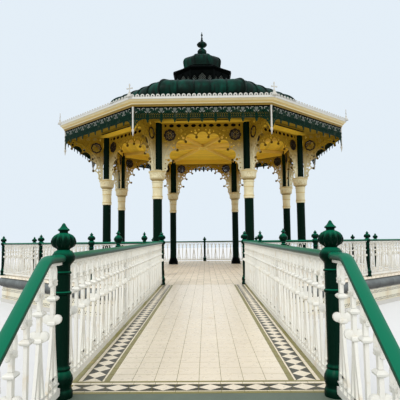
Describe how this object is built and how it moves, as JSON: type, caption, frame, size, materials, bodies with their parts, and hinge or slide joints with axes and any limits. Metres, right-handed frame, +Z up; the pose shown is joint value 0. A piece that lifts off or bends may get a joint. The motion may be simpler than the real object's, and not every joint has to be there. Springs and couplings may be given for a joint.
{
  "type": "bandstand",
  "caption": "Eight-sided open iron bandstand with a domed copper roof and lantern, on a railed platform reached by a short railed bridge and steps.",
  "frame": {"origin": "on the ground, on the axis of the ring of columns", "axes": "+Z up, +Y from the entrance bridge towards the far side, +X to the right of someone walking in"},
  "size_m": [14.3148, 24.1544, 10.95],
  "materials": {
    "masonry": "dressed masonry, matt",
    "band_plate": "cream oil paint",
    "lead_roll": "weathered lead dressed over a roll",
    "floor_tiles": "unglazed floor tiles, worn matt",
    "bridge_tiles": "unglazed floor tiles with a diamond border",
    "dark_stone": "dark grey-green stone, rubbed",
    "girder_paint": "dark green paint on riveted iron",
    "column_paint": "deep green gloss paint",
    "cream_castings": "cream gloss paint",
    "rosette_paint": "dark brown paint",
    "beam_paint": "dark green paint",
    "ceiling_boards": "ochre yellow paint on boards",
    "roof_boards": "painted boards under sheet copper",
    "gutter_paint": "cream and tan paint",
    "white_paint": "white gloss paint",
    "green_lace": "green gloss paint",
    "copper_patina": "verdigris and dark streaks on sheet copper",
    "lantern_paint": "dark green paint",
    "newel_paint": "sea green gloss paint"
  },
  "bodies": {
    "root": {"bridge_abutment": "masonry", "bridge_deck": "bridge_tiles", "bridge_girders": "girder_paint", "bridge_handrails": "newel_paint", "bridge_mid_posts": "newel_paint", "bridge_newels": "newel_paint", "bridge_nosing": "dark_stone", "bridge_railing_left": "white_paint", "bridge_railing_right": "white_paint", "ceiling": "ceiling_boards", "ceiling_ribs": "ceiling_boards", "column_1": "column_paint", "column_2": "column_paint", "column_3": "column_paint", "column_4": "column_paint", "column_5": "column_paint", "column_6": "column_paint", "column_7": "column_paint", "column_8": "column_paint", "corner_crosses": "white_paint", "corner_pendants": "white_paint", "dome_rolls": "copper_patina", "dome_shell": "copper_patina", "eaves_brackets": "cream_castings", "eaves_gutter": "gutter_paint", "eaves_valance": "green_lace", "entrance_steps": "dark_stone", "finial": "copper_patina", "gutter_cresting": "white_paint", "lantern_body": "lantern_paint", "lantern_cap": "copper_patina", "lantern_hood": "lantern_paint", "platform_base": "masonry", "platform_coping": "lead_roll", "platform_fascia": "band_plate", "platform_floor": "floor_tiles", "platform_handrails": "newel_paint", "platform_newels": "newel_paint", "platform_railing_1": "white_paint", "platform_railing_2": "white_paint", "platform_railing_3": "white_paint", "platform_railing_4": "white_paint", "platform_railing_5": "white_paint", "platform_railing_6": "white_paint", "platform_railing_7": "white_paint", "platform_railing_8": "white_paint", "ring_beam": "beam_paint", "roof_apron": "roof_boards", "rosettes": "rosette_paint", "spandrel_1": "cream_castings", "spandrel_2": "cream_castings", "spandrel_3": "cream_castings", "spandrel_4": "cream_castings", "spandrel_5": "cream_castings", "spandrel_6": "cream_castings", "spandrel_7": "cream_castings", "spandrel_8": "cream_castings", "stair_railing_left": "white_paint", "stair_railing_right": "white_paint"}
  },
  "joints": []
}
